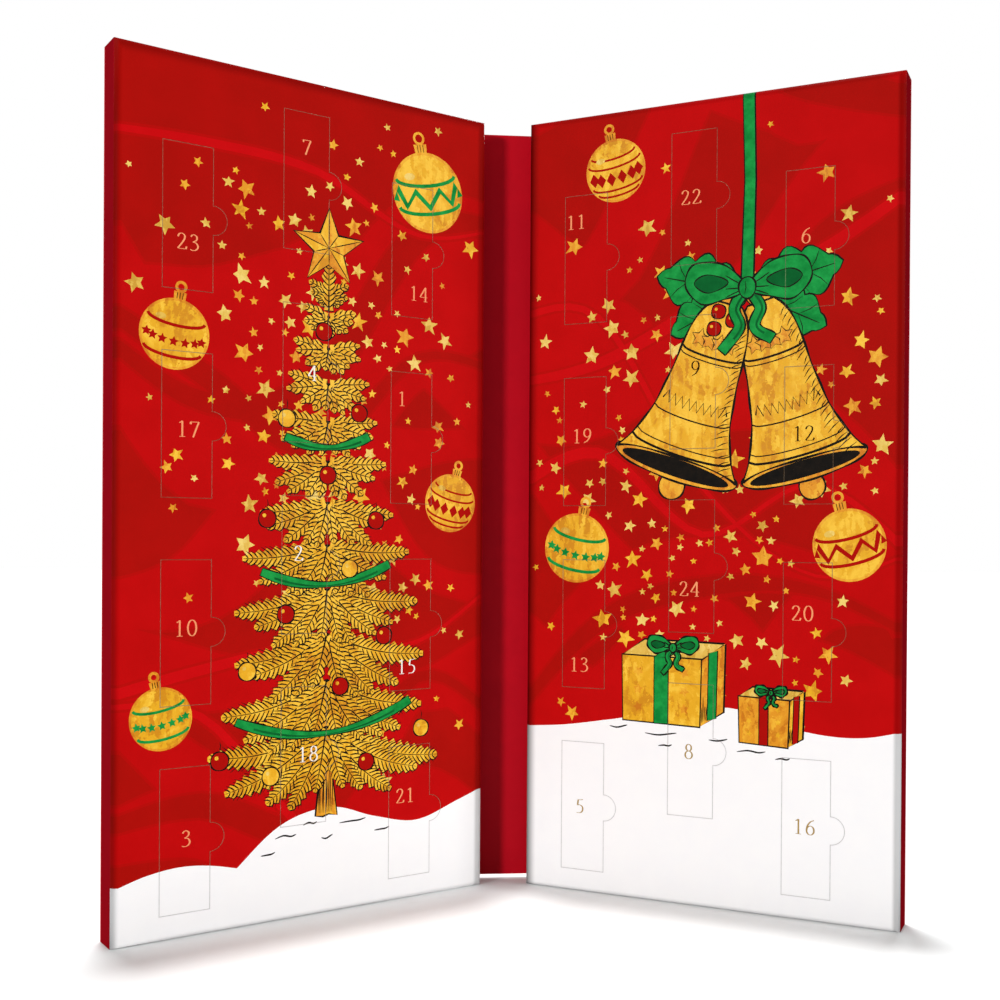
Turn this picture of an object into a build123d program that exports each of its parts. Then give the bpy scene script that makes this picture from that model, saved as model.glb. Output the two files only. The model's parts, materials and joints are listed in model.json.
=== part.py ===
from build123d import *

import math
import os

# A book-style chocolate advent calendar, standing open as a V.
# Two shallow card cartons hang on a narrow spine. Each has twelve tabbed doors cut
# through its front, a thermoformed insert behind them, and a bar in every pocket.
# Millimetres. X runs along the spine's width, -Y points at the viewer, +Z is up.
# The origin is at the middle of the bounding box, on the surface it stands on.

# Cartons: one front card folded into a tray, closed behind by a cover board
carton_height = 336.0
carton_width = 161.4
carton_depth = 13.2
card = 0.5
fold_radius = 2.5
glue_flap_width = 9.0
glue_flap_gap = 0.6

# Cover: two boards and the spine, one sheet on the real object, creased where they meet
board = 0.8
crease_clearance = 0.15
shut_gap = 4.3
spine_end_inset = 1.8
open_angle = 120.0

# Doors: tall rectangles that fold at their left edge, with a half-round tab on the right
door_width = 19.6
door_height = 55.3
tab_radius = 5.6
door_slit = 0.15
fold_clearance = 0.05
doors_in_column = 4

# Margins from the carton's edges to the doors. The middle column sits higher than the others
left_margin = 17.7
right_margin = 27.0
outer_top_margin = 34.5
outer_bottom_margin = 9.7
middle_top_margin = 13.2
middle_bottom_margin = 37.4

# Insert: one thin formed sheet, its flange behind the front card
sheet = 0.4
insert_edge_clearance = 0.1
insert_corner_radius = 3.0
rim_depth = 2.6
seat_gap = 0.1
pocket_reveal = 1.2
pocket_corner_radius = 2.5
corner_flat_angle = 30.0
draft = 5.0
thumb_well_reach = 4.6
thumb_well_length = 9.2
thumb_well_depth = 3.4
thumb_well_slope = 25.0

# Bars: a slab with four bevelled segments
bar_side_clearance = 0.3
bar_slab_height = 3.4
bar_segment_height = 6.0
segment_gap = 0.9
segment_count = 4
segment_bevel_angle = 14.0

# How far a cutting shape runs past the face that it cuts
overrun = 1.0

# Sizes that follow from the ones above
crease_radius = board / 2
set_back = crease_radius + crease_clearance
spine_width = 2 * (carton_depth + crease_radius) + shut_gap
swing_at_rest = (180.0 - open_angle) / 2
outer_margins = (outer_top_margin, outer_bottom_margin)
middle_margins = (middle_top_margin, middle_bottom_margin)
column_margins = (outer_margins, middle_margins, outer_margins)
column_pitch = (carton_width - left_margin - right_margin - door_width) / (len(column_margins) - 1)
flange_top = carton_depth - card - seat_gap
pocket_floor = seat_gap + sheet

# Which day each door carries, column by column, from the top door down
left_days = "23 17 10 03 07 04 02 18 14 01 15 21".split()
right_days = "11 19 13 05 22 09 24 08 06 12 20 16".split()


def facing(depth):
    """The plane that lies depth in front of the carton's back, seen by the viewer."""
    return Plane.XZ.offset(depth)


def door_places():
    """Left edge and bottom edge of every door, column by column, from the top down."""
    places = []
    for column, (top, bottom) in enumerate(column_margins):
        pitch = (carton_height - top - bottom - door_height) / (doors_in_column - 1)
        for row in range(doors_in_column):
            x = left_margin + column * column_pitch
            z = carton_height - top - door_height - row * pitch
            places.append((x, z))
    return places


def door_outline(grow, fold_edge):
    """A door's outline from its fold, grown on its free sides, with its tab rooted in it by a card."""
    body = Rectangle(door_width + grow - fold_edge, door_height + 2 * grow, align=(Align.MIN, Align.CENTER))
    tab = Pos(door_width, 0) * Circle(tab_radius + grow)
    free_side = Rectangle(2 * (tab_radius + grow), door_height, align=(Align.MIN, Align.CENTER))
    half_tab = tab & (Pos(door_width - card, 0) * free_side)
    return Pos(0, door_height / 2) * ((Pos(fold_edge, 0) * body) + half_tab)


def tray_block(inset, depth, radius):
    """A block of the carton's plan, inset all round, with its four front folds rounded."""
    plan = Rectangle(carton_width - 2 * inset, carton_height - 2 * inset, align=(Align.MIN, Align.MIN))
    block = extrude(Plane.XZ * Pos(inset, inset) * plan, amount=depth)
    front = block.faces().sort_by(Axis.Y)[0]
    return fillet(front.edges(), radius)


def glue_flap(length, turn):
    """One flap at the carton's back with mitred ends, its fold edge on the X axis."""
    flap = Polygon(
        (glue_flap_gap, 0),
        (length - glue_flap_gap, 0),
        (length - glue_flap_gap - glue_flap_width, glue_flap_width),
        (glue_flap_gap + glue_flap_width, glue_flap_width),
        align=None,
    )
    return Rot(0, 0, turn) * flap


def carton_front():
    """Front face, four side walls and four glue flaps: one folded card with its windows."""
    outer = tray_block(0, carton_depth, fold_radius)
    hollow = tray_block(card, carton_depth - card, fold_radius - card)
    mouth_plan = Rectangle(carton_width - 2 * card, carton_height - 2 * card, align=(Align.MIN, Align.MIN))
    mouth = extrude(Plane.XZ * Pos(card, card) * mouth_plan, amount=-overrun)
    shell = outer - hollow - mouth
    flaps = [
        glue_flap(carton_width, 0),
        Pos(carton_width, 0) * glue_flap(carton_height, 90),
        Pos(carton_width, carton_height) * glue_flap(carton_width, 180),
        Pos(0, carton_height) * glue_flap(carton_height, 270),
    ]
    for flap in flaps:
        shell = shell + extrude(Plane.XZ * flap, amount=card)
    window = door_outline(door_slit, -fold_clearance)
    for x, z in door_places():
        plane = facing(carton_depth - card - overrun)
        shell = shell - extrude(plane * Pos(x, z) * window, amount=card + 2 * overrun)
    return shell


def cover_board():
    """The flat back of one carton."""
    plan = Rectangle(carton_width, carton_height, align=(Align.MIN, Align.MIN))
    return extrude(Plane.XZ * plan, amount=-board)


def spine_strip():
    """The strip between the boards, with a rolled crease along both edges."""
    section = SlotCenterToCenter(spine_width, board)
    strip = extrude(section, amount=carton_height - 2 * spine_end_inset)
    return Pos(0, crease_radius, spine_end_inset) * strip


def door(x, z):
    """One door, flush with the front card."""
    outline = door_outline(0, 0)
    return extrude(facing(carton_depth - card) * Pos(x, z) * outline, amount=card)


def drafted_block(width, length, depth, slope):
    """A block on the plane Y = 0 that narrows evenly on all four sides as it goes back."""
    narrowing = depth * math.tan(math.radians(slope))
    inset = (narrowing, narrowing, width - narrowing, length - narrowing)
    return Wedge(width, depth, length, *inset, align=(Align.CENTER, Align.MIN, Align.CENTER))


def pocket_form(shrink, top, floor):
    """A drafted pocket behind its door. Two flats, tangent to the corner's round, make each corner."""
    corner = pocket_corner_radius - shrink
    straight_width = door_width - 2 * (pocket_reveal + shrink + corner)
    straight_length = door_height - 2 * (pocket_reveal + shrink + corner)
    forms = []
    for turn in (0, corner_flat_angle, -corner_flat_angle):
        along = math.cos(math.radians(turn))
        across = abs(math.sin(math.radians(turn)))
        width = straight_width * along + straight_length * across + 2 * corner
        length = straight_width * across + straight_length * along + 2 * corner
        forms.append(Rot(0, turn, 0) * drafted_block(width, length, top - floor, draft))
    return Pos(0, -top, 0) * (forms[0] & forms[1] & forms[2])


def thumb_well_form(shrink, top, floor):
    """A shallow well with sloping walls behind the tab, so that a finger can lift the bar."""
    width = 2 * (thumb_well_reach - shrink)
    length = thumb_well_length - 2 * shrink
    well = drafted_block(width, length, top - floor, thumb_well_slope)
    return Pos(door_width / 2 - pocket_reveal, -top, 0) * well


def insert_tray():
    """The thermoformed insert: flange, turned-down rim and twelve drafted pockets."""
    edge = fold_radius + insert_edge_clearance
    width = carton_width - 2 * edge
    height = carton_height - 2 * edge
    middle = Pos(carton_width / 2, carton_height / 2)
    plan = middle * RectangleRounded(width, height, insert_corner_radius)
    inner_radius = insert_corner_radius - sheet
    inner_plan = middle * RectangleRounded(width - 2 * sheet, height - 2 * sheet, inner_radius)
    tray = extrude(facing(flange_top) * plan, amount=-rim_depth)
    tray = tray - extrude(facing(flange_top - sheet) * inner_plan, amount=-rim_depth)

    pocket = pocket_form(0, flange_top, seat_gap)
    pocket = pocket + thumb_well_form(0, flange_top, flange_top - thumb_well_depth - sheet)
    hollow = pocket_form(sheet, flange_top, pocket_floor)
    hollow = hollow + thumb_well_form(sheet, flange_top, flange_top - thumb_well_depth)
    for x, z in door_places():
        place = Pos(x + door_width / 2, 0, z + door_height / 2)
        tray = tray + place * pocket
        tray = tray - place * hollow
    return tray


def chocolate_bar():
    """One moulded bar: a slab and four bevelled segments that face the door."""
    narrowing = (flange_top - pocket_floor) * math.tan(math.radians(draft))
    spare = 2 * (pocket_reveal + sheet + narrowing + bar_side_clearance)
    width = door_width - spare
    length = door_height - spare
    base = pocket_floor + seat_gap
    bar = extrude(facing(base) * Rectangle(width, length), amount=bar_slab_height)
    pitch = length / segment_count
    block = drafted_block(width - segment_gap, pitch - segment_gap, bar_segment_height, segment_bevel_angle)
    segment = Pos(0, -base - bar_slab_height, 0) * Rot(0, 0, 180) * block
    for step in range(segment_count):
        height = (step - (segment_count - 1) / 2) * pitch
        bar = bar + Pos(0, 0, height) * segment
    return bar


def depth_to_middle():
    """How far the bounding box's middle lies in front of the spine's front face."""
    swing = math.radians(swing_at_rest)
    out = (set_back + carton_width - fold_radius) * math.sin(swing)
    forward = (crease_radius + carton_depth - fold_radius) * math.cos(swing)
    nearest = crease_radius - out - forward - fold_radius
    return -(nearest + board) / 2


def hinged(side):
    """Places a carton's pieces at rest: side is -1 for the left carton, 1 for the right."""
    shift = Pos(side * spine_width / 2, crease_radius + depth_to_middle(), 0)
    edge = set_back if side > 0 else -set_back - carton_width
    return shift * Rot(0, 0, -side * swing_at_rest) * Pos(edge, -crease_radius, 0)


def write(shape, name):
    """Writes one piece to its own file."""
    export_step(shape, "parts/" + name + ".step")


def write_carton(side, word, days):
    """Writes every piece of one carton, placed at rest."""
    place = hinged(side)
    write(place * carton_front(), "carton_front_" + word)
    write(place * cover_board(), "cover_board_" + word)
    write(place * insert_tray(), "insert_tray_" + word)
    bar = chocolate_bar()
    for day, (x, z) in zip(days, door_places()):
        middle = Pos(x + door_width / 2, 0, z + door_height / 2)
        write(place * door(x, z), "door_" + day)
        write(place * middle * bar, "chocolate_" + day)


os.makedirs("parts", exist_ok=True)
write(Pos(0, depth_to_middle(), 0) * spine_strip(), "spine_strip")
write_carton(-1, "left", left_days)
write_carton(1, "right", right_days)
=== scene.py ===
import json
import math

import bpy
import numpy as np
from mathutils import Matrix, Vector
from mathutils.geometry import delaunay_2d_cdt

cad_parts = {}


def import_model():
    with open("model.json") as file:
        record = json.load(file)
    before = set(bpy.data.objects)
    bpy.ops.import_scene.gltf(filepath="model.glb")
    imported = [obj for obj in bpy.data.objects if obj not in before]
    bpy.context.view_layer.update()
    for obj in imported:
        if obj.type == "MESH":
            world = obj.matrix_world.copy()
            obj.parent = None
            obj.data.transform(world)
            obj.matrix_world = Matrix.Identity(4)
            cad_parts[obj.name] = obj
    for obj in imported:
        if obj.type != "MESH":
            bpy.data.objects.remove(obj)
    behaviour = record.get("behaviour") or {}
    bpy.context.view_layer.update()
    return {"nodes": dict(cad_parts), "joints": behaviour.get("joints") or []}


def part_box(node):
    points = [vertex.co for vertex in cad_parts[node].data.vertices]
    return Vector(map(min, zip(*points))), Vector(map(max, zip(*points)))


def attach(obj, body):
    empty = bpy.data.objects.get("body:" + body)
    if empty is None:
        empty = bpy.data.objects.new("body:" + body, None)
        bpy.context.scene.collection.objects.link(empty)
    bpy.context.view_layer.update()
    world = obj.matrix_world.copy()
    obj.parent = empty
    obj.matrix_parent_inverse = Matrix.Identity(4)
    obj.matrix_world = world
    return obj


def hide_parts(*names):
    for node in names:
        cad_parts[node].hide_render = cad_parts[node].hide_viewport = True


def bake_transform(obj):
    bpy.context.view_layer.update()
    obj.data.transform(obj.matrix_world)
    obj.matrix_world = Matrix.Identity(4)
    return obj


# A book-style chocolate advent calendar, standing open as a V on a pale floor.
# The print on each front is a set of flat shapes, laid over each other and cut into one mesh,
# so that every door carries its own part of the picture.

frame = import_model()

# Sizes in millimetres, x from a carton's left edge, z from the surface it stands on
MM = 0.001
front_low, front_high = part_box("carton_front_left")
carton_height = (front_high.z - front_low.z) / MM
carton_width = 161.4
carton_depth = 13.2
card = 0.5
fold_radius = 2.5
fold_steps = 10
flap_width = 9.0
board = 0.8
set_back = 0.55
swing_at_rest = 30.0
spine_end_inset = 1.8

# The cover's skin over the creases, and how far wear reaches from there and from the boards' edges
crease_reach = 1.6
crease_middle = 0.1
crease_wear = 1.3
edge_wear = 1.2
skin = 0.05
skin_gap = 0.01
skin_thinning = 0.8
flat_steps = 5
turn_steps = 5

# Doors
door_width = 19.6
door_height = 55.3
tab_radius = 5.6
tab_steps = 18
slit = 0.05
cut_edge = 0.16
left_margin = 17.7
right_margin = 27.0
outer_margins = (34.5, 9.7)
middle_margins = (13.2, 37.4)
column_margins = (outer_margins, middle_margins, outer_margins)
doors_in_column = 4
column_pitch = (carton_width - left_margin - right_margin - door_width) / 2

# Which day each door carries, column by column, from the top door down
days = {
    "left": "23 17 10 03 07 04 02 18 14 01 15 21".split(),
    "right": "11 19 13 05 22 09 24 08 06 12 20 16".split(),
}
side_of = {"left": -1, "right": 1}
joints = {joint["name"]: joint for joint in frame["joints"]}

random = np.random.default_rng(24)


def placed(name, data):
    """An object for a mesh, a lamp or a camera, linked to the scene."""
    made = bpy.data.objects.new(name, data)
    bpy.context.scene.collection.objects.link(made)
    return made


def door_places():
    """Left edge and bottom edge of every door, column by column, from the top down."""
    places = []
    for column, (top, bottom) in enumerate(column_margins):
        pitch = (carton_height - top - bottom - door_height) / (doors_in_column - 1)
        for row in range(doors_in_column):
            low = carton_height - top - door_height - row * pitch
            places.append((left_margin + column * column_pitch, low))
    return places


def to_frame(word, x, depth, height):
    """Points of one carton in the row frame, in metres: a turn about its hinge, then the hinge's place.
    x runs from the carton's left edge, depth from its back towards the viewer, height from the floor."""
    side = side_of[word]
    turn = math.radians(-side * swing_at_rest)
    hinge = joints[word + "_cover_hinge"]["pos_m"]
    along = np.asarray(x) + (set_back if side > 0 else -set_back - carton_width)
    back = -np.asarray(depth) - board / 2
    across = hinge[0] + MM * (along * math.cos(turn) - back * math.sin(turn))
    away = hinge[1] + MM * (along * math.sin(turn) + back * math.cos(turn))
    return np.stack(np.broadcast_arrays(across, away, np.asarray(height) * MM), axis=-1)


# Outlines, each an array of points in order


def circle(x, z, radius, steps, flat=1.0):
    """A circle, or an ellipse whose height is its width times flat."""
    turn = np.linspace(0, 2 * math.pi, steps, endpoint=False)
    return np.stack([x + radius * np.cos(turn), z + flat * radius * np.sin(turn)], axis=1)


def star(x, z, size, turn, waist, uneven=0.0):
    """Ten points at equal turns, on two radii in alternation. The waist is the inner one's share."""
    angle = turn + math.pi / 2 + np.arange(10) * math.pi / 5
    radius = size * np.where(np.arange(10) % 2 == 0, 1.0, waist)
    radius = radius * (1 + uneven * random.uniform(-1, 1, 10))
    return np.stack([x + radius * np.cos(angle), z + radius * np.sin(angle)], axis=1)


def smooth(points, steps=8, closed=False):
    """A Catmull-Rom curve through the points: each span blends its four nearest points by cubics."""
    points = np.asarray(points, float)
    if closed:
        padded = np.vstack([points[-1], points, points[:2]])
    else:
        padded = np.vstack([2 * points[0] - points[1], points, 2 * points[-1] - points[-2]])
    before, start, end, after = (padded[i : len(padded) - 3 + i, None] for i in range(4))
    t = np.linspace(0, 1, steps, endpoint=False)[None, :, None]
    linear = (end - before) * t
    square = (2 * before - 5 * start + 4 * end - after) * t**2
    cube = (3 * start - before - 3 * end + after) * t**3
    curve = (0.5 * (2 * start + linear + square + cube)).reshape(-1, 2)
    return curve if closed else np.vstack([curve, points[-1]])


def normals(line, closed=False):
    """The unit normals of a line, to the left of its direction."""
    if closed:
        along = np.roll(line, -1, axis=0) - np.roll(line, 1, axis=0)
    else:
        along = np.gradient(line, axis=0)
    length = np.maximum(np.linalg.norm(along, axis=1, keepdims=True), 1e-9)
    return np.stack([-along[:, 1], along[:, 0]], axis=1) / length


def stroke(line, width):
    """A pen stroke: the outline half a width to each side of a line. The width may vary along it."""
    line = np.asarray(line, float)
    half = np.broadcast_to(np.asarray(width, float), len(line))[:, None] / 2
    out = normals(line) * half
    return np.vstack([line + out, (line - out)[::-1]])


def rim(loop, outside, inside):
    """The band about a closed outline, as its outer loop and its inner loop turned the other way."""
    out = normals(loop, closed=True)
    area = np.sum(loop[:, 0] * np.roll(loop[:, 1], -1) - loop[:, 1] * np.roll(loop[:, 0], -1))
    out = -out if area > 0 else out
    outside = np.broadcast_to(np.asarray(outside, float), len(loop))[:, None]
    return loop + out * outside, (loop - out * inside)[::-1]


def turned(points, x, z, degrees):
    """Points turned about the origin and moved to a place."""
    turn = math.radians(degrees)
    spin = np.array([[math.cos(turn), math.sin(turn)], [-math.sin(turn), math.cos(turn)]])
    return np.asarray(points, float) @ spin + (x, z)


def door_outline(x, z, grow, fold):
    """A door's outline, grown on its free sides: a rectangle with a half-round tab on its right edge."""
    right = x + door_width + grow
    low, high = z - grow, z + door_height + grow
    radius = tab_radius + grow
    reach = math.acos(grow / radius)
    turn = np.linspace(-reach, reach, tab_steps)
    middle = z + door_height / 2
    tab = np.stack([x + door_width + radius * np.cos(turn), middle + radius * np.sin(turn)], axis=1)
    return np.vstack([[(x + fold, low), (right, low)], tab, [(right, high), (x + fold, high)]])


# What is printed on a carton, and how it is cut into doors

INKS = [
    "red", "middle red", "bright red", "vivid red", "snow", "gold", "pale gold", "deep gold", "ink",
    "green", "dark green",
    "number on red", "number on snow", "number on gold", "number on ink",
    "cut in red", "cut in snow", "cut in gold", "cut in green", "cut in ink",
    "side", "core", "inside",
]
CUT_INK = {
    "red": "cut in red", "middle red": "cut in red", "bright red": "cut in red", "vivid red": "cut in red",
    "snow": "cut in snow", "ink": "cut in ink", "green": "cut in green", "dark green": "cut in green",
}
print_shift = {"left": 50.0, "right": 350.0}
print_period = 300.0
map_unit = 100.0

# Points closer than this are one where outlines cross, and where a card's back is filled
crossing_distance = 0.0004
filling_distance = 1e-6
weld_digits = 4
border_tolerance = 1e-4

# A shape whose box is this large, in square millimetres, can hide others that lie wholly inside it
hiding_area = 60.0

# Whose triangle it is: a door's row, or one of these
card_owner = -1
slit_owner = -2


class Print:
    """The shapes printed on one front, from the lowest to the topmost."""

    def __init__(self):
        self.layers = []

    def visible(self):
        """The layers without those that lie wholly inside a later shape of some breadth."""
        counts = [sum(len(loop) for loop in loops) for _, loops in self.layers]
        owner = np.repeat(np.arange(len(self.layers)), counts)
        points = np.vstack([loop for _, loops in self.layers for loop in loops])
        hidden = np.zeros(len(self.layers), bool)
        for row, (_, loops) in enumerate(self.layers):
            corners = np.vstack(loops)
            low, high = corners.min(0), corners.max(0)
            if len(loops) > 1 or np.prod(high - low) < hiding_area:
                continue
            near = (owner < row) & (points > low).all(1) & (points < high).all(1)
            if near.any():
                held = np.zeros(len(points), bool)
                held[near] = inside(points[near], loops)
                hidden |= np.bincount(owner, held, len(counts)) == counts
        return [layer for layer, away in zip(self.layers, hidden) if not away]

    def lay(self, ink, *loops):
        """Adds one shape, made of one outline or of an outer and an inner one."""
        self.layers.append((INKS.index(ink), [np.asarray(loop, float) for loop in loops]))

    def outlined(self, ink, loop, width):
        """Adds a filled shape with a pen line round it, a little uneven in width."""
        self.lay(ink, loop)
        uneven = width * (0.5 + 0.25 * np.sin(np.arange(len(loop)) * 0.9))
        self.lay("ink", *rim(loop, uneven, 0.25 * width))


def inside(points, loops):
    """Whether the loops go round each point: the crossings of their edges above it, counted with sign."""
    start = np.vstack(loops)
    end = np.vstack([np.roll(loop, -1, axis=0) for loop in loops])
    x, z = points[:, :1], points[:, 1:]
    rises = (start[:, 1] <= z) & (end[:, 1] > z)
    falls = (start[:, 1] > z) & (end[:, 1] <= z)
    side = (end[:, 0] - start[:, 0]) * (z - start[:, 1]) - (x - start[:, 0]) * (end[:, 1] - start[:, 1])
    return ((rises & (side > 0)).sum(1) - (falls & (side < 0)).sum(1)) != 0


def cut_plane(points, edges, distance):
    """The plane cut along edges: its points, its triangles, and for each point the given ones it stands for.
    Points closer than the distance become one."""
    cut = delaunay_2d_cdt([Vector(p) for p in points], edges.tolist(), [], 0, distance)
    return np.array([tuple(p) for p in cut[0]]), np.array(cut[2]), cut[3]


def triangulated(loops):
    """Points and triangles of the plane cut along every loop."""
    points = np.vstack(loops)
    counts = np.array([len(loop) for loop in loops])
    first = np.repeat(np.cumsum(counts) - counts, counts)
    place = np.arange(len(points)) - first
    edges = np.stack([np.arange(len(points)), first + (place + 1) % np.repeat(counts, counts)], axis=1)
    return cut_plane(points, edges, crossing_distance)[:2]


def painted(centres, layers):
    """The ink at each centre: that of the topmost layer that covers it."""
    inks = np.zeros(len(centres), int)
    order = np.argsort(centres[:, 0])
    sorted_x = centres[order, 0]
    for ink, loops in layers:
        corners = np.vstack(loops)
        (left, low), (right, high) = corners.min(0), corners.max(0)
        some = order[np.searchsorted(sorted_x, left) : np.searchsorted(sorted_x, right)]
        some = some[(centres[some, 1] > low) & (centres[some, 1] < high)]
        if len(some):
            inks[some[inside(centres[some], loops)]] = ink
    return inks


def border(triangles):
    """The directed edges that only one triangle has, and that triangle's row."""
    edges = np.concatenate([triangles[:, [0, 1]], triangles[:, [1, 2]], triangles[:, [2, 0]]])
    rows = np.tile(np.arange(len(triangles)), 3)
    base = edges.max() + 1
    key = edges[:, 0] * base + edges[:, 1]
    mirror = edges[:, 1] * base + edges[:, 0]
    lone = ~np.isin(key, mirror)
    return edges[lone], rows[lone]


class Surface:
    """The points, triangles and inks of a piece while it is put together."""

    def __init__(self, word):
        self.word = word
        self.points, self.maps, self.faces, self.inks, self.rounds = [], [], [], [], []
        self.count = 0

    def add_points(self, x, depth, z, u=None, v=None):
        """Adds points of the carton, with their place on the print, and returns their numbers."""
        self.points.append(to_frame(self.word, x, depth, z))
        u = x if u is None else u
        self.maps.append(np.stack([u + print_shift[self.word], z if v is None else v], axis=1))
        self.count += len(x)
        return np.arange(self.count - len(x), self.count)

    def add_flat(self, points, chosen, depth):
        """Adds the chosen points at one depth, and returns a list that holds each one's number in its row."""
        number = np.zeros(len(points), int)
        x, z = points[chosen].T
        number[chosen] = self.add_points(x, np.full(len(chosen), depth), z)
        return number

    def add_faces(self, faces, inks, rounded=False):
        """Adds triangles, each with its ink. Rounded ones are shaded smooth."""
        self.faces.append(faces)
        self.inks.append(np.broadcast_to(inks, len(faces)))
        self.rounds.append(np.full(len(faces), rounded))

    def add_strip(self, edges, near, far, inks, rounded=False):
        """Two triangles along each edge, between the rows of points near and far."""
        a, b = edges[:, 0], edges[:, 1]
        faces = np.stack([near[b], near[a], far[a], near[b], far[a], far[b]], axis=1).reshape(-1, 3)
        self.add_faces(faces, np.repeat(np.broadcast_to(inks, len(edges)), 2), rounded)

    def finished(self, name):
        """The mesh object: points that coincide are merged, and faces without area are dropped."""
        points, maps = np.vstack(self.points), np.vstack(self.maps)
        faces, inks, rounds = (np.concatenate(part) for part in (self.faces, self.inks, self.rounds))
        keys = np.round(points / MM, weld_digits)
        _, first, same = np.unique(keys, axis=0, return_index=True, return_inverse=True)
        welded = same.reshape(-1)[faces]
        whole = (welded != np.roll(welded, 1, axis=1)).all(1)
        welded, faces, inks, rounds = welded[whole], faces[whole], inks[whole], rounds[whole]
        mesh = bpy.data.meshes.new(name)
        mesh.vertices.add(len(first))
        mesh.vertices.foreach_set("co", points[first].ravel())
        mesh.loops.add(3 * len(welded))
        mesh.loops.foreach_set("vertex_index", welded.ravel())
        mesh.polygons.add(len(welded))
        mesh.polygons.foreach_set("loop_start", np.arange(0, 3 * len(welded), 3))
        used = np.unique(inks)
        mesh.polygons.foreach_set("material_index", np.searchsorted(used, inks))
        mesh.polygons.foreach_set("use_smooth", rounds)
        mesh.uv_layers.new(name="print")
        mesh.uv_layers["print"].uv.foreach_set("vector", (maps[faces.ravel()] / map_unit).ravel())
        mesh.update(calc_edges=True)
        for ink in used:
            mesh.materials.append(finish(INKS[ink]))
        return placed(name, mesh)


def back_of(points, edges, parts=20):
    """Triangles that fill the loops which the edges form, over the same points. They are tested in parts,
    to keep the arrays small."""
    used = np.unique(edges)
    local = np.searchsorted(used, edges)
    spots, triangles, sources = cut_plane(points[used], local, filling_distance)
    start, end = points[edges[:, 0]], points[edges[:, 1]]
    centres = spots[triangles].mean(axis=1)
    kept = [covered(part, start, end) for part in np.array_split(centres, parts)]
    original = np.array([numbers[0] for numbers in sources])
    return used[original[triangles[np.concatenate(kept)]]]


def covered(points, start, end):
    """Whether an odd number of edges lies above each point."""
    x, z = points[:, :1], points[:, 1:]
    crosses = (start[:, 0] <= x) != (end[:, 0] <= x)
    run = np.where(end[:, 0] == start[:, 0], 1.0, end[:, 0] - start[:, 0])
    height = start[:, 1] + (x - start[:, 0]) * (end[:, 1] - start[:, 1]) / run
    return ((crosses & (height > z)).sum(1) % 2) == 1


def printed_door(word, day, points, triangles, inks):
    """One door: its part of the print, the plain back of the card, and the cut edge between."""
    edges, _ = border(triangles)
    surface = Surface(word)
    front = surface.add_flat(points, np.unique(triangles), carton_depth)
    surface.add_faces(front[triangles], inks)
    rear = surface.add_flat(points, np.unique(edges), carton_depth - card)
    surface.add_strip(edges, front, rear, INKS.index("core"))
    surface.add_faces(rear[back_of(points, edges)][:, ::-1], INKS.index("inside"))
    door = surface.finished("printed_door_" + day)
    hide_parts("door_" + day)
    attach(door, "door_" + day)
    return door


def fold_profile():
    """The card's path from the front's edge round the fold, down the side, round the glue flap and back up
    inside: for each step, the inset from the carton's edge, the depth, the ink and whether it is rounded.
    The folds are quarter circles about one centre line."""
    turn = np.linspace(0, math.pi / 2, fold_steps + 1)
    centre = carton_depth - fold_radius
    outer = [(fold_radius * (1 - math.sin(t)), centre + fold_radius * math.cos(t)) for t in turn]
    bend = fold_radius - card
    inner = [(fold_radius - bend * math.sin(t), centre + bend * math.cos(t)) for t in turn[::-1]]
    steps = [(*place, "print", True) for place in outer[:-1]] + [(*outer[-1], "side", True)]
    steps += [(0.0, 0.0, "side", False), (flap_width, 0.0, "inside", False)]
    steps += [(flap_width, card, "inside", False), (card, card, "inside", False)]
    steps += [(inner[0][0], inner[0][1], "inside", False)]
    return steps + [(*place, "inside", True) for place in inner[1:]]


def drawn_in(places, at_start, at_end, inset, size):
    """Places along one side of the carton, held within an inset. Those on its border lie on the inset."""
    held = np.clip(places, inset, size - inset)
    return np.where(at_start, inset, np.where(at_end, size - inset, held))


def carton_card(word, points, triangles, inks):
    """The front card of a carton: the printed front with its windows, the folded sides and flaps, and the
    plain inner face."""
    edges, rows = border(triangles)
    x, z = points.T
    reach = fold_radius + border_tolerance
    on_left, on_right = x < reach, x > carton_width - reach
    on_low, on_high = z < reach, z > carton_height - reach
    outer = (on_left | on_right | on_low | on_high)[edges].all(1)
    surface = Surface(word)
    near = surface.add_flat(points, np.unique(triangles), carton_depth)
    surface.add_faces(near[triangles], inks)
    rear = surface.add_flat(points, np.unique(edges[~outer]), carton_depth - card)
    surface.add_strip(edges[~outer], near, rear, INKS.index("core"))

    ring = np.unique(edges[outer])
    length = 0.0
    steps = fold_profile()
    inset, depth = steps[0][:2]
    for next_inset, next_depth, ink, rounded in steps[1:]:
        length += math.hypot(next_inset - inset, next_depth - depth)
        inset, depth = next_inset, next_depth
        ring_x = drawn_in(x[ring], on_left[ring], on_right[ring], inset, carton_width)
        ring_z = drawn_in(z[ring], on_low[ring], on_high[ring], inset, carton_height)
        u = x[ring] + length * (on_right[ring].astype(float) - on_left[ring])
        v = z[ring] + length * (on_high[ring].astype(float) - on_low[ring])
        far = near.copy()
        far[ring] = surface.add_points(ring_x, np.full(len(ring), depth), ring_z, u, v)
        edge_inks = inks[rows[outer]] if ink == "print" else INKS.index(ink)
        surface.add_strip(edges[outer], near, far, edge_inks, rounded)
        near = far
    rear[ring] = near[ring]
    surface.add_faces(rear[back_of(points, edges)][:, ::-1], INKS.index("inside"))
    front = surface.finished("printed_front_" + word)
    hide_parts("carton_front_" + word)
    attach(front, word + "_carton")
    return front


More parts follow.
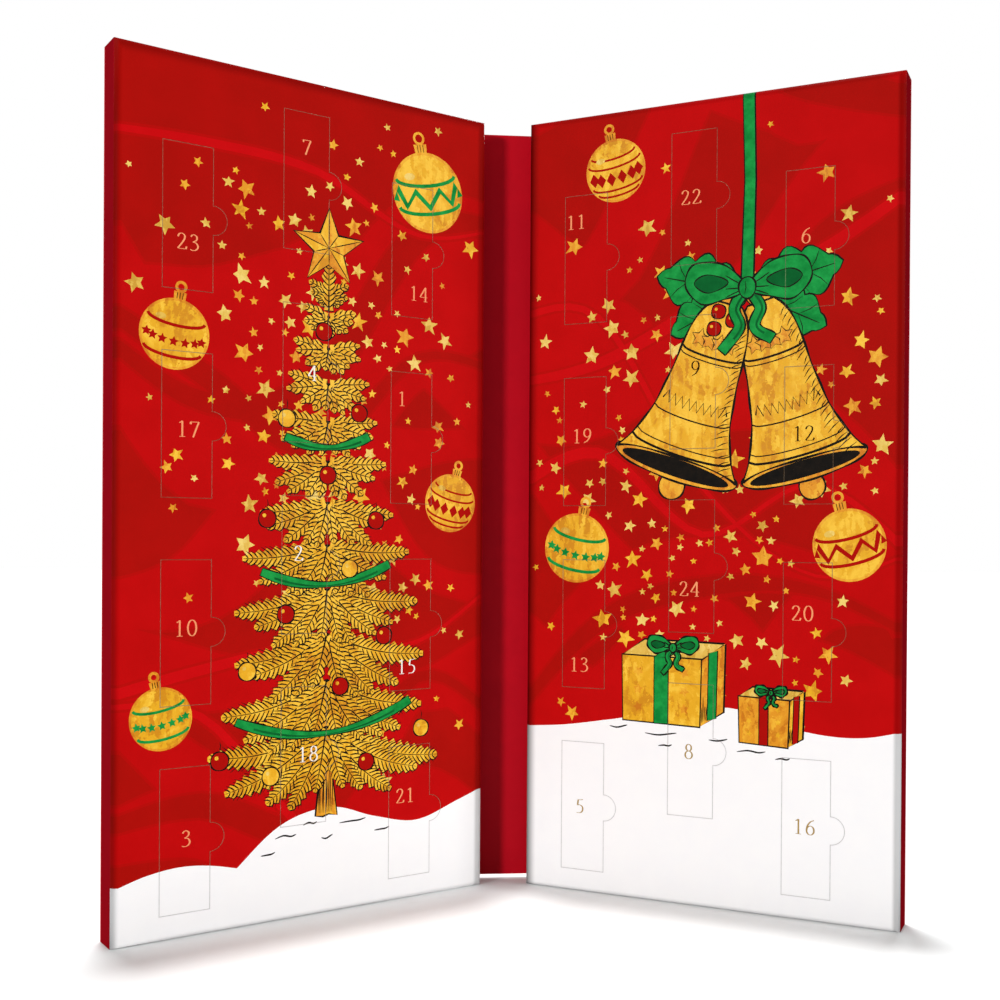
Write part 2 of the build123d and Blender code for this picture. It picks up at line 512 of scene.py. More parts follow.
def cut_out(word, picture):
    """Cuts one front's picture into the carton's card and its twelve doors."""
    low, right, high = fold_radius, carton_width - fold_radius, carton_height - fold_radius
    sheet = np.array([(low, low), (right, low), (right, high), (low, high)])
    doors = [door_outline(x, z, 0, 0) for x, z in door_places()]
    windows = [door_outline(x, z, slit, -slit) for x, z in door_places()]
    around = [door_outline(x, z, slit + cut_edge, -slit - cut_edge) for x, z in door_places()]
    within = [door_outline(x, z, -cut_edge, cut_edge) for x, z in door_places()]
    loops = [sheet, *doors, *windows, *around, *within]
    layers = picture.visible()
    loops += [loop for _, shape in layers for loop in shape]
    points, triangles = triangulated(loops)
    centres = points[triangles].mean(axis=1)
    kept = inside(centres, [sheet])
    triangles, centres = triangles[kept], centres[kept]
    inks = painted(centres, layers)
    cut_inks = np.array([INKS.index(CUT_INK.get(ink, "cut in gold")) for ink in INKS])
    owner = np.full(len(triangles), card_owner)
    for row in range(len(doors)):
        near_cut = inside(centres, [around[row]]) & ~inside(centres, [within[row]])
        inks[near_cut] = cut_inks[inks[near_cut]]
        owner[inside(centres, [windows[row]])] = slit_owner
        owner[inside(centres, [doors[row]])] = row
    for row, day in enumerate(days[word]):
        mine = owner == row
        printed_door(word, day, points, triangles[mine], inks[mine])
    mine = owner == card_owner
    carton_card(word, points, triangles[mine], inks[mine])


# Materials


def colour(red, green, blue):
    """A colour as a screen shows it, from 0 to 255, in the linear values that a shader takes."""
    shown = np.array([red, green, blue]) / 255
    linear = np.where(shown <= 0.04045, shown / 12.92, ((shown + 0.055) / 1.055) ** 2.4)
    return (*linear, 1.0)


class Finish:
    """A material with one shader, and short calls for the nodes that vary it."""

    def __init__(self, name, roughness, shine):
        self.material = bpy.data.materials.new(name)
        self.material.use_nodes = True
        self.nodes, self.links = self.material.node_tree.nodes, self.material.node_tree.links
        self.shader = self.nodes["Principled BSDF"]
        self.shader.inputs["Roughness"].default_value = roughness
        self.shader.inputs["Specular IOR Level"].default_value = shine

    def node(self, kind, inputs=None, **settings):
        """A new node with its settings, and its inputs as values or as links from other nodes' outputs."""
        made = self.nodes.new("ShaderNode" + kind)
        for key, value in settings.items():
            setattr(made, key, value)
        for key, value in (inputs or {}).items():
            if isinstance(value, bpy.types.NodeSocket):
                self.links.new(value, made.inputs[key])
            else:
                made.inputs[key].default_value = value
        return made

    def place(self, printed=True):
        """Where the pattern lies: on the print, or on the object."""
        if printed:
            return self.node("UVMap", uv_map="print").outputs["UV"]
        return self.node("TexCoord").outputs["Object"]

    def noise(self, vector, scale, detail, rough, distortion=0.0):
        """Noise from 0 to 1."""
        inputs = {"Vector": vector, "Scale": scale, "Detail": detail, "Roughness": rough}
        return self.node("TexNoise", {**inputs, "Distortion": distortion}).outputs["Fac"]

    def math(self, operation, first, second=0.0):
        """The result of one operation on two values."""
        return self.node("Math", {0: first, 1: second}, operation=operation).outputs[0]

    def scaled(self, vector, factor):
        """A vector or a colour times a factor."""
        return self.node("VectorMath", {0: vector, "Scale": factor}, operation="SCALE").outputs[0]

    def ramp(self, value, low, high, start=0.0, end=1.0):
        """A value taken from low..high to start..end, and held there beyond."""
        inputs = {"Value": value, "From Min": low, "From Max": high, "To Min": start, "To Max": end}
        return self.node("MapRange", inputs, clamp=True).outputs["Result"]

    def soft(self, value, low, high, end=1.0):
        """A value taken from low..high to 0..end along an S curve."""
        inputs = {"Value": value, "From Min": low, "From Max": high, "To Min": 0.0, "To Max": end}
        return self.node("MapRange", inputs, interpolation_type="SMOOTHSTEP").outputs["Result"]

    def mix(self, amount, first, second):
        """One colour where the amount is 0 and another where it is 1."""
        made = self.node("Mix", data_type="RGBA")
        for socket, value in ((made.inputs[0], amount), (made.inputs[6], first), (made.inputs[7], second)):
            if isinstance(value, bpy.types.NodeSocket):
                self.links.new(value, socket)
            else:
                socket.default_value = value
        return made.outputs[2]

    def cloudy(self, where, scale, detail, rough, first, second, spread=0.15):
        """Two colours in clouds of noise, which turn into each other over the spread about its middle."""
        clouds = self.noise(where, scale, detail, rough)
        return self.mix(self.ramp(clouds, 0.5 - spread, 0.5 + spread), first, second)

    def shown(self, base, rough, height, depth):
        """Joins colour, relief and, where it varies, roughness to the shader. The depth is in millimetres."""
        self.links.new(base, self.shader.inputs["Base Color"])
        if rough is not None:
            self.links.new(rough, self.shader.inputs["Roughness"])
        bump = self.node("Bump", {"Height": height, "Strength": 1.0, "Distance": depth * MM})
        self.links.new(bump.outputs["Normal"], self.shader.inputs["Normal"])
        return self.material

    def on_card(self, base, smoothest, roughest):
        """A colour on coated card, whose fine grain varies the roughness."""
        grain = self.noise(self.place(), 260.0, 3.0, 0.6)
        return self.shown(base, self.ramp(grain, 0.3, 0.7, smoothest, roughest), grain, 0.006)


def on_the_right(made, across):
    """1 on the right carton's part of the print and 0 on the left one's. They lie one period apart."""
    return made.math("GREATER_THAN", across, print_period / map_unit)


def folded(made, base):
    """A print's colour with painted shade where the card folds: along both upright folds, more so beside the
    spine, and a little at the top and the bottom. Places are in millimetres, and pairs are for the left
    carton and the right one."""
    parts = made.node("SeparateXYZ", {"Vector": made.place()}).outputs
    turn = made.math("MODULO", parts["X"], print_period / map_unit)
    x = made.math("SUBTRACT", turn, print_shift["left"] / map_unit)
    on_right = on_the_right(made, parts["X"])

    def of_carton(left_value, right_value):
        return made.ramp(on_right, 0.0, 1.0, left_value, right_value)

    def mapped(left_place, right_place):
        return of_carton(left_place / map_unit, right_place / map_unit)

    # Painted shade on each fold: the share of the colour taken away there
    left = made.soft(x, mapped(3.0, 5.8), 0.2 / map_unit)
    left = made.math("MULTIPLY", left, of_carton(0.46, 0.8))
    right_start = mapped(carton_width - 5.0, carton_width - 3.4)
    right = made.soft(x, right_start, mapped(carton_width - 2.8, carton_width - 1.6))
    right = made.math("MULTIPLY", right, of_carton(0.38, 0.43))
    top_start = mapped(carton_height - 5.5, carton_height - 3.4)
    top = made.soft(parts["Y"], top_start, (carton_height - 0.8) / map_unit, 0.42)
    bottom = made.soft(parts["Y"], 2.6 / map_unit, 0.0, 0.1)
    shade = made.math("MAXIMUM", made.math("ADD", left, right), made.math("MAXIMUM", top, bottom))
    return made.scaled(base, made.math("SUBTRACT", 1.0, shade))


def red_print(name, first, second):
    """Red ink, a little cloudy, on satin card, with painted shade along the folds."""
    made = Finish(name, 0.5, 0.012)
    base = made.cloudy(made.place(), 5.0, 3.0, 0.55, first, second, 0.14)
    return made.on_card(folded(made, base), 0.46, 0.56)


def gold_print(name, light, middle, dark):
    """Gold leaf: three golds in clouds broken by slanting dabs and crumpled facets; painted shade at the
    folds.
    """
    made = Finish(name, 0.42, 0.06)
    where = made.place()
    clouds = made.noise(where, 4.2, 5.0, 0.62, 1.4)
    slant = {"Vector": where, "Rotation": (0.0, 0.0, 0.8), "Scale": (1.0, 0.32, 1.0)}
    slanted = made.node("Mapping", slant).outputs["Vector"]
    ragged = made.node("TexNoise", {"Vector": where, "Scale": 70.0, "Detail": 3.0}).outputs["Color"]
    ragged = {0: slanted, 1: made.scaled(ragged, 0.022)}
    slanted = made.node("VectorMath", ragged, operation="ADD").outputs[0]
    dabs = made.node("TexVoronoi", {"Vector": slanted, "Scale": 62.0, "Randomness": 1.0}).outputs["Color"]
    tone = made.math("ADD", made.math("MULTIPLY", dabs, 0.34), clouds)
    base = made.mix(made.ramp(tone, 0.52, 0.6), dark, middle)
    base = made.mix(made.ramp(tone, 0.66, 0.8), base, light)
    crumple = made.node("TexVoronoi", {"Vector": slanted, "Scale": 26.0, "Randomness": 1.0})
    creases = made.noise(where, 34.0, 6.0, 0.75, 2.0)
    base = made.mix(made.ramp(creases, 0.6, 0.72, 0.0, 0.4), base, light)
    base = made.mix(made.ramp(creases, 0.4, 0.3, 0.0, 0.4), base, dark)
    rough = made.ramp(creases, 0.3, 0.7, 0.34, 0.5)
    return made.shown(folded(made, base), rough, crumple.outputs["Distance"], 0.02)


def plain_print(name, first, second, shine=0.012, scale=9.0):
    """One ink, a little cloudy, on satin card, with painted shade along the folds."""
    made = Finish(name, 0.5, shine)
    base = made.cloudy(made.place(), scale, 4.0, 0.6, first, second)
    return made.on_card(folded(made, base), 0.45, 0.55)


def cut_line(name, first, second):
    """The bruised ink and bare fibres along a die-cut line."""
    return plain_print(name, first, second, 0.02, 60.0)


def side_card():
    """Crimson card of the cartons' sides, matt and a little cloudy, with painted light on the left carton's
    sides and painted shade on the right carton's.
    """
    made = Finish("print_side", 0.6, 0.0)
    where = made.place()
    base = made.cloudy(where, 4.0, 4.0, 0.6, colour(130, 9, 20), colour(136, 10, 21))
    # Painted light and shade: the same card is made lighter on the left carton and darker on the right one
    across = made.node("SeparateXYZ", {"Vector": where}).outputs["X"]
    base = made.scaled(base, made.ramp(on_the_right(made, across), 0.0, 1.0, 1.16, 0.82))
    return made.on_card(base, 0.55, 0.65)


def raw_card(name, first, second):
    """Uncoated card: short fibres in two tones."""
    made = Finish(name, 0.85, 0.1)
    where = made.place()
    stretched = made.node("Mapping", {"Vector": where, "Scale": (1.0, 0.25, 1.0)}).outputs["Vector"]
    fibres = made.noise(stretched, 150.0, 5.0, 0.7, 0.6)
    base = made.mix(made.ramp(fibres, 0.4, 0.62), first, second)
    return made.shown(base, None, fibres, 0.02)


finishes = {}


def finish(ink):
    """The material of an ink or of a card face, made once."""
    if ink not in finishes:
        finishes[ink] = MAKERS[ink]()
    return finishes[ink]


MAKERS = {
    "red": lambda: red_print("print_red", colour(168, 14, 8), colour(175, 14, 9)),
    "middle red": lambda: red_print("print_middle_red", colour(179, 12, 9), colour(184, 12, 10)),
    "bright red": lambda: red_print("print_bright_red", colour(187, 9, 10), colour(194, 10, 12)),
    "vivid red": lambda: red_print("print_vivid_red", colour(197, 9, 14), colour(204, 11, 16)),
    "snow": lambda: plain_print("print_snow", colour(251, 251, 252), colour(253, 253, 253)),
    "gold": lambda: gold_print(
        "print_gold", colour(248, 198, 60), colour(232, 172, 31), colour(210, 141, 22)
    ),
    "pale gold": lambda: gold_print(
        "print_pale_gold", colour(240, 210, 114), colour(226, 186, 80), colour(204, 156, 54)
    ),
    "deep gold": lambda: gold_print(
        "print_deep_gold", colour(240, 180, 50), colour(226, 150, 32), colour(204, 120, 20)
    ),
    "ink": lambda: plain_print("print_ink", colour(10, 8, 6), colour(24, 18, 12), 0.03, 30.0),
    "green": lambda: plain_print("print_green", colour(10, 126, 52), colour(30, 160, 72), 0.02, 20.0),
    "dark green": lambda: plain_print("print_dark_green", colour(8, 88, 40), colour(14, 106, 48)),
    "number on red": lambda: plain_print("number_peach", colour(242, 152, 104), colour(248, 164, 114)),
    "number on snow": lambda: plain_print("number_gold", colour(164, 134, 76), colour(174, 146, 88)),
    "number on gold": lambda: plain_print("number_brown", colour(34, 18, 2), colour(46, 26, 6)),
    "number on ink": lambda: plain_print("number_white", colour(240, 238, 232), colour(247, 245, 240)),
    "cut in red": lambda: cut_line("cut_in_red", colour(146, 46, 34), colour(162, 64, 46)),
    "cut in snow": lambda: cut_line("cut_in_snow", colour(206, 206, 208), colour(218, 218, 220)),
    "cut in gold": lambda: cut_line("cut_in_gold", colour(186, 150, 84), colour(172, 138, 82)),
    "cut in green": lambda: cut_line("cut_in_green", colour(66, 118, 66), colour(84, 134, 80)),
    "cut in ink": lambda: cut_line("cut_in_ink", colour(58, 44, 30), colour(74, 58, 40)),
    "side": side_card,
    "core": lambda: raw_card("card_core", colour(216, 206, 192), colour(236, 228, 216)),
    "inside": lambda: raw_card("card_inside", colour(204, 197, 186), colour(219, 213, 203)),
}


# The two pictures, in millimetres from the carton's lower left corner
overhang = 14.0
under_the_carton = -5.0
ribbon_knots = 5
broad_share = 0.7
soft_edge = 1.1
smallest_star = 1.5
star_range = 3.2
star_gap = 0.4
number_room = 6.5
ball_room = 2.0
number_shift = (-1.0, -0.5)
needle_spacing = 1.9


def snow_hill(picture, points):
    """A drift of snow under a smooth line, filled down past the carton's bottom fold."""
    line = smooth(points)
    picture.lay("snow", np.vstack([line, [(line[-1, 0], under_the_carton), (line[0, 0], under_the_carton)]]))


def ribbons(picture, count):
    """Broad bands of brighter red that sweep across the ground, each on a smooth curve, swelling and
    thinning along it, with a few dark ones in them and narrow ones over them. A tone between theirs and
    the ground's softens their edges."""
    bands = {"bright red": [], "red": [], "vivid red": []}
    for number in range(count):
        narrow = number >= broad_share * count
        across = np.linspace(-overhang, carton_width + overhang, ribbon_knots)
        start, rise = random.uniform(-20, carton_height + 20), random.uniform(-150, 150)
        heights = start + rise * np.linspace(0, 1, ribbon_knots) + random.uniform(-34, 34, ribbon_knots)
        line = smooth(np.stack([across, heights], axis=1), 7)
        share = np.linspace(0, 1, len(line))
        breadth = random.uniform(2, 6) if narrow else random.uniform(26, 58)
        wave = share * random.uniform(0.6, 1.2) + random.uniform(0, 0.5)
        breadth = breadth * (0.35 + 0.65 * np.sin(math.pi * wave) ** 2)
        bands["vivid red" if narrow else "bright red"].append((line, breadth))
        if not narrow and number % 3 == 2:
            bands["red"].append((line + (0, random.uniform(-8, 8)), 0.3 * breadth))
    for ink, rows in bands.items():
        for line, breadth in rows:
            picture.lay("middle red", stroke(line, breadth + 2 * soft_edge))
        for line, breadth in rows:
            picture.lay(ink, stroke(line, breadth))


def pen(picture, line, width):
    """One pen line that thins towards both ends."""
    share = np.linspace(0, 1, len(line))
    picture.lay("ink", stroke(line, width * (0.3 + 0.7 * np.sin(math.pi * share) ** 0.5)))


def hatching(picture, start, step, count, run, width):
    """Short pen strokes side by side, a step apart, each a little longer or shorter than the run."""
    for number in range(count):
        length = random.uniform(0.6, 1.15)
        foot = np.asarray(start) + np.asarray(step) * (number + random.uniform(-0.2, 0.2))
        bend = random.uniform(-0.3, 0.3, 2)
        tip = foot + np.asarray(run) * length
        pen(picture, smooth([foot, (foot + tip) / 2 + bend, tip], 3), width)


def scattered_stars(picture, count, centre, spread, clear):
    """Small gold stars, thick about a centre and thinner away from it, off the places kept clear."""
    golds = ("gold", "pale gold", "pale gold", "deep gold")
    taken = list(clear)
    while count:
        x, z = random.normal(centre, spread)
        size = smallest_star + star_range * random.random() ** 2.2
        near = any(math.hypot(x - a, z - b) < size + room for a, b, room in taken)
        edge = 1.2 * size + fold_radius
        if near or not (edge < x < carton_width - edge and edge < z < carton_height - edge):
            continue
        taken.append((x, z, size + star_gap))
        turn = random.uniform(0, 2 * math.pi)
        picture.lay(golds[random.integers(len(golds))], star(x, z, size, turn, 0.47, 0.15))
        count -= 1


def backdrop(picture, bands, places, balls, count, centre, spread):
    """The red ground with its ribbons, and stars that leave the numbers and the baubles clear."""
    ribbons(picture, bands)
    clear = [(x, z, number_room) for x, z, _ in places]
    clear += [(x, z, radius + ball_room) for x, z, radius, *_ in balls]
    scattered_stars(picture, count, centre, spread, clear)


def latitude(angle, radius, tilt, steps=14):
    """A ring about a ball as the viewer sees it: the near half of an ellipse at that height."""
    turn = np.linspace(-math.pi / 2, math.pi / 2, steps)
    height = radius * math.sin(angle)
    across = radius * math.cos(angle)
    return np.stack([across * np.sin(turn), height - tilt * across * np.cos(turn)], axis=1)


def zigzag(line, reach, count):
    """A line's points pushed up and down in turn, that many times along it."""
    share = np.linspace(0, 1, 2 * count + 1)
    place = np.interp(share * (len(line) - 1), np.arange(len(line)), line[:, 0])
    height = np.interp(share * (len(line) - 1), np.arange(len(line)), line[:, 1])
    height = height + reach * np.where(np.arange(len(share)) % 2 == 0, -1, 1)
    return np.stack([place, height], axis=1)


# The plain bands of each style of bauble: their latitudes, and their thickness as a share of its radius
BANDS = {
    "zigzag": ((-0.34, 0.42), 0.09),
    "stars": ((-0.5, 0.5), 0.09),
    "diamonds": ((-0.75, -0.45, 0.35, 0.65), 0.065),
}


def bauble(picture, x, z, radius, lean, accent, style):
    """A glass ball with a cap and a ring, and bands that follow its roundness."""
    cap = 0.16 * radius
    inner = 0.93 * radius
    tilt = 0.25

    def at(points):
        return turned(points, x, z, lean)

    neck = radius * math.cos(math.asin(cap / radius))
    ring = circle(0, neck + 2.2 * cap, 0.8 * cap, 20)
    picture.lay("deep gold", *[at(loop) for loop in rim(ring, 0.6, 0.5)])
    top = neck + 1.3 * cap
    picture.lay("deep gold", at([(-cap, neck - 1), (cap, neck - 1), (1.15 * cap, top), (-1.15 * cap, top)]))
    for rib in (-0.5, 0.0, 0.5):
        picture.lay("number on gold", at(stroke([(rib * cap, neck), (rib * cap, neck + 1.2 * cap)], 0.3)))
    picture.lay("deep gold", at(circle(0, 0, radius, 56)))
    picture.lay("gold", at(circle(0, 0, inner, 56)))
    angles, thickness = BANDS[style]
    for angle in angles:
        picture.lay(accent, at(stroke(latitude(angle, inner, tilt), thickness * radius)))
    if style == "zigzag":
        line = zigzag(latitude(0.06, inner, tilt), 0.2 * radius, 4)
        picture.lay(accent, at(stroke(line, 0.17 * radius)))
    if style == "stars":
        for place in latitude(0.0, inner * 0.92, tilt, 9)[1:-1]:
            picture.lay(accent, at(star(*place, 0.15 * radius, 0.0, 0.5)))
    if style == "diamonds":
        for place in latitude(-0.05, inner * 0.9, tilt, 8)[1:-1]:
            picture.lay(accent, at(circle(*place, 0.16 * radius, 4, 1.4)))
    glint = circle(-0.45 * radius, 0.42 * radius, 0.15 * radius, 16, 0.6)
    picture.lay("pale gold", at(glint))


def frond(picture, foot, length, angle, droop):
    """A fir branch: a gold leaf with a toothed edge about a drooping stem, and needles of ink set along both
    sides. Its half width swells from the foot and closes at the tip by a power of a sine."""
    count = max(6, int(length / needle_spacing))
    share = np.linspace(0, 1, count)
    way = math.radians(angle)
    x = foot[0] + length * share * math.cos(way)
    z = foot[1] + length * share * math.sin(way) - droop * length * np.sin(math.pi * share) * 0.5
    stem = np.stack([x, z], axis=1)
    half = (1.2 + 0.075 * length) * np.sin(math.pi * np.clip(0.14 + 0.84 * share, 0, 1)) ** 0.6
    along = np.gradient(stem, axis=0)
    along /= np.linalg.norm(along, axis=1, keepdims=True)
    side = np.stack([-along[:, 1], along[:, 0]], axis=1)
    teeth = np.where(np.arange(count) % 2 == 0, 1.2, 0.75)[:, None] * half[:, None]
    sweep = along * half[:, None] * 0.5
    leaf = np.vstack([stem + side * teeth + sweep, (stem - side * teeth + sweep)[::-1]])
    picture.lay("ink", leaf + (0.25, -0.45))
    picture.lay("gold", leaf)
    for hand in (1, -1):
        for row in range(1, count - 1):
            root = stem[row] + hand * side[row] * 0.12 * half[row]
            reach = half[row] * random.uniform(1.15, 1.55)
            tip = root + (hand * side[row] * 0.8 + along[row] * 0.85) * reach
            mid = (root + tip) / 2 - along[row] * 0.12 * reach
            picture.lay("ink", stroke([root, mid, tip], (0.4, 0.62, 0.14)))
    picture.lay("ink", stroke(stem, np.linspace(0.8, 0.2, count)))


def fir_tree(picture, x, foot, height, reach, swags):
    """A fir in tiers, from the lowest up. Each tier is a fan of branches from one point of the trunk, longest
    at the sides, and it hangs over the tier below. A garland is laid after some of the tiers."""
    flare, trunk_top = foot + 12, foot + 44
    trunk = [(x - 4.6, foot - 2), (x - 3.0, flare), (x - 2.2, trunk_top), (x + 2.2, trunk_top)]
    trunk += [(x + 3.0, flare), (x + 5.0, foot - 2.6), (x + 1.2, foot - 1.7), (x - 1.4, foot - 2.4)]
    picture.outlined("deep gold", np.array(trunk), 1.0)
    hatching(picture, (x - 3.2, foot - 1), (0.72, 0.0), 9, (0.3, 20.0), 0.4)
    tiers, branches = 12, 5
    lowest, highest = foot + 34, foot + height - 10
    for tier in range(tiers):
        share = 1 - (1 - tier / (tiers - 1)) ** 1.2
        level = lowest + (highest - lowest) * share
        spread = reach * (1 - share) ** 0.92 + 9
        top, low = -14 + 34 * share**2, -78
        for step in np.linspace(0, 1, branches):
            lean = top + (low - top) * step
            length = spread * (1.0 - (0.48 - 0.1 * share) * step)
            for hand in (1, -1):
                angle = lean + random.uniform(-5, 5)
                angle = angle if hand > 0 else 180 - angle
                frond(picture, (x, level), length * random.uniform(0.9, 1.06), angle, 0.16 * (1 - share))
        if tier in swags:
            width = 0.8 * spread
            start, end = (x - width, level - 0.3 * spread), (x + width, level - 0.22 * spread)
            swag(picture, start, end, 0.24 * width, 3.8)
    frond(picture, (x, foot + height - 18), 22, 90, 0.0)


def treetop_star(picture, x, z, size):
    """A large star, each ray in a light and a dark half."""
    outline = star(x, z, size, 0.0, 0.42)
    picture.outlined("gold", outline, 1.0)
    for ray in range(0, 10, 2):
        half = [(x, z), outline[ray], outline[ray - 1]]
        picture.lay("deep gold", half)
    for point in outline:
        pen(picture, np.linspace((x, z), point, 4), 0.45)


def hanging_ball(picture, x, z, radius, ink):
    """A small ball on the tree, with a pen line round it and a glint."""
    pen(picture, [(x, z + radius), (x + 0.3, z + radius + 2.4), (x, z + radius + 4.0)], 0.4)
    picture.outlined(ink, circle(x, z, radius, 26), 0.7)
    glint = "gold" if ink != "gold" else "pale gold"
    picture.lay(glint, circle(x - 0.35 * radius, z + 0.35 * radius, 0.22 * radius, 12))


def swag(picture, start, end, sag, width):
    """A ribbon that hangs between two points on a parabola, with pen lines along its edges."""
    share = np.linspace(0, 1, 22)[:, None]
    line = np.asarray(start) * (1 - share) + np.asarray(end) * share
    line[:, 1] -= 4 * sag * (share * (1 - share))[:, 0]
    breadth = width * (0.8 + 0.25 * np.sin(share[:, 0] * 9))
    picture.outlined("green", stroke(line, breadth), 0.55)
    picture.lay("dark green", stroke(line[2:-2] - (0, 0.14 * width), breadth[2:-2] * 0.22))


def bow(picture, x, z, size):
    """A ribbon bow: two tails, two loops and a knot, each with its folds drawn in."""

    def at(points):
        return np.asarray(points, float) + (x, z)

    for hand, drop in ((-1, 0.95), (1, 0.8)):
        tail = smooth([(0, 0), (hand * 0.2 * size, -0.3 * size), (hand * 0.12 * size, -0.6 * size),
                       (hand * 0.4 * size, -drop * size)])
        picture.outlined("green", at(stroke(tail, 0.17 * size)), 0.8)
        picture.lay("dark green", at(stroke(tail[3:-4] + (0.03 * size, 0), 0.035 * size)))
    for hand in (-1, 1):
        loop = smooth([(0, 0.04 * size), (hand * 0.35 * size, 0.36 * size), (hand * 0.82 * size, 0.42 * size),
                       (hand * 0.98 * size, 0.12 * size), (hand * 0.72 * size, -0.2 * size),
                       (hand * 0.3 * size, -0.14 * size), (0, -0.06 * size)], 7)
        hollow = smooth([(hand * 0.3 * size, 0.1 * size), (hand * 0.62 * size, 0.24 * size),
                         (hand * 0.84 * size, 0.12 * size), (hand * 0.6 * size, -0.04 * size)], 6, True)
        picture.outlined("green", at(loop), 0.9)
        picture.outlined("dark green", at(hollow), 0.6)
        for fan in (0.16, 0.0, -0.1):
            fold = smooth([(hand * 0.08 * size, 0.3 * fan * size), (hand * 0.22 * size, 0.8 * fan * size),
                           (hand * 0.34 * size, 1.3 * fan * size)], 4)
            pen(picture, at(fold), 0.5)
    picture.outlined("green", at(circle(0, 0, 0.13 * size, 20, 1.25)), 0.9)
    pen(picture, at([(-0.03 * size, 0.1 * size), (-0.02 * size, 0), (-0.04 * size, -0.1 * size)]), 0.45)


def bell(picture, x, z, height, mouth, lean):
    """A bell hung from its crown. Its half width is a quarter ellipse over the shoulder, a slow straight
    widening along the waist and a fifth power at the lip."""

    def at(points):
        return turned(points, x, z, lean)

    way = np.linspace(0, 1, 30)
    shoulder = np.sqrt(1 - (1 - np.minimum(way / 0.26, 1)) ** 2)
    half = mouth * (0.42 * shoulder + 0.2 * way + 0.38 * way**5)
    right = np.stack([half, -height * way], axis=1)
    left = (right * (-1, 1))[::-1]
    picture.outlined("deep gold", at(circle(0, 0.02 * height, 0.075 * height, 20)), 0.9)
    picture.outlined("deep gold", at(circle(0.05 * mouth, -1.12 * height, 0.2 * mouth, 24)), 0.9)
    picture.outlined("deep gold", at(circle(0, -height, mouth, 48, 0.22)), 1.0)
    picture.lay("ink", at(circle(0, -1.012 * height, 0.88 * mouth, 44, 0.15)))
    around = np.linspace(0, -math.pi, 18)
    lip = np.stack([mouth * np.cos(around), -height - 0.13 * mouth * np.sin(around)], axis=1)
    picture.outlined("gold", at(np.vstack([right[1:-1], lip, left[1:-1]])), 1.1)

    def girdle(share, part=0.985):
        across = np.linspace(-1, 1, 20)
        radius = np.interp(share, way, half) * part
        sag = 0.15 * radius * np.sqrt(1 - across**2) - 0.5
        return np.stack([across * radius, -height * share - sag], axis=1)

    for share, width in ((0.9, 1.0), (0.86, 0.5), (0.7, 0.6), (0.36, 0.5), (0.33, 0.9)):
        picture.lay("ink", at(stroke(girdle(share), width)))
    picture.lay("ink", at(stroke(zigzag(girdle(0.62, 0.9), 0.032 * height, 9), 0.7)))
    for place in girdle(0.25, 0.8)[3:-2:4]:
        picture.outlined("deep gold", at(star(*place, 0.055 * height, 0.0, 0.5)), 0.5)
    for row in range(26):
        share = 0.1 + 0.034 * row
        edge = np.interp(share, way, half)
        reach = random.uniform(0.16, 0.34)
        line = [(0.97 * edge, -height * share), ((0.97 - reach / 2) * edge, -height * (share + 0.018)),
                ((0.97 - reach) * edge, -height * (share + 0.045))]
        pen(picture, at(line), 0.5)


def holly(picture, x, z, size, degrees):
    """A holly leaf: an oval whose edge is drawn in between its points, with a midrib and veins."""
    share = np.linspace(0, 1, 25)
    bulge = 0.32 * size * np.sin(math.pi * share) ** 0.8 * (0.72 + 0.28 * np.abs(np.cos(share * 4 * math.pi)))
    upper = np.stack([share * size, bulge], axis=1)
    leaf = turned(np.vstack([upper, (upper * (1, -1))[::-1]]), x, z, degrees)
    picture.outlined("green", leaf, 0.8)
    pen(picture, turned(np.stack([share * size * 0.92, 0 * share], axis=1), x, z, degrees), 0.6)
    for place in (0.25, 0.45, 0.65):
        for hand in (1, -1):
            vein = np.array([(place, 0), (place + 0.1, hand * 0.1), (place + 0.16, hand * 0.2)]) * size
            pen(picture, turned(vein, x, z, degrees), 0.4)


def gift(picture, x, z, width, height, ribbon, paper):
    """A parcel seen a little from one side, tied with a ribbon and a bow. Its lid and its side slant by a
    share of its width."""
    away = np.array([0.3, 0.2]) * width
    front = np.array([(x, z), (x + width, z - 1), (x + width + 0.6, z + height), (x - 0.5, z + height + 0.8)])
    flank = np.array([front[1], front[1] + away, front[2] + away, front[2]])
    lid = np.array([front[3], front[2], front[2] + away, front[3] + away])
    other = "deep gold" if paper != "deep gold" else "gold"
    picture.outlined(other, flank, 0.9)
    picture.outlined("pale gold", lid, 0.9)
    picture.outlined(paper, front, 0.9)
    half = 0.09 * width
    middle = (front[0] + front[1]) / 2
    above = (front[2] + front[3]) / 2
    band = np.array([middle - (half, 0), middle + (half, 0), above + (half, 0), above - (half, 0)])
    picture.outlined(ribbon, band, 0.5)
    over = above + [(-half, 0), (half, 0), away + (half, 0), away - (half, 0)]
    picture.outlined(ribbon, over, 0.5)
    belt = front[1] + away / 2
    side = np.array([belt - (half * 0.6, 0.2 * half), belt + (half * 0.6, 0.2 * half)])
    up = front[2] - front[1]
    picture.outlined(ribbon, np.vstack([side, (side + up)[::-1]]), 0.5)
    strokes = 5
    start = front[1] + (0.06 * away[0], 1.5)
    hatching(picture, start, 0.3 * away / strokes, strokes, (0.3, 0.35 * height), 0.011 * width)
    for column in (0.2, 0.8):
        for row in (0.22, 0.5, 0.78):
            spot = front[0] + (column * width, row * height)
            picture.lay(other, star(*spot, 0.07 * width, random.uniform(0, 6), 0.5))
    bow(picture, *(above + away * (0.5, 0.6)), 0.34 * width)


def bowl(z):
    """The bowl of a 6 or a 9 about a height: an ellipse drawn from its right side round to it again."""
    turn = np.radians(np.linspace(0, 360, 24))
    return np.stack([0.31 + 0.24 * np.cos(turn), z + 0.29 * np.sin(turn)], axis=1)


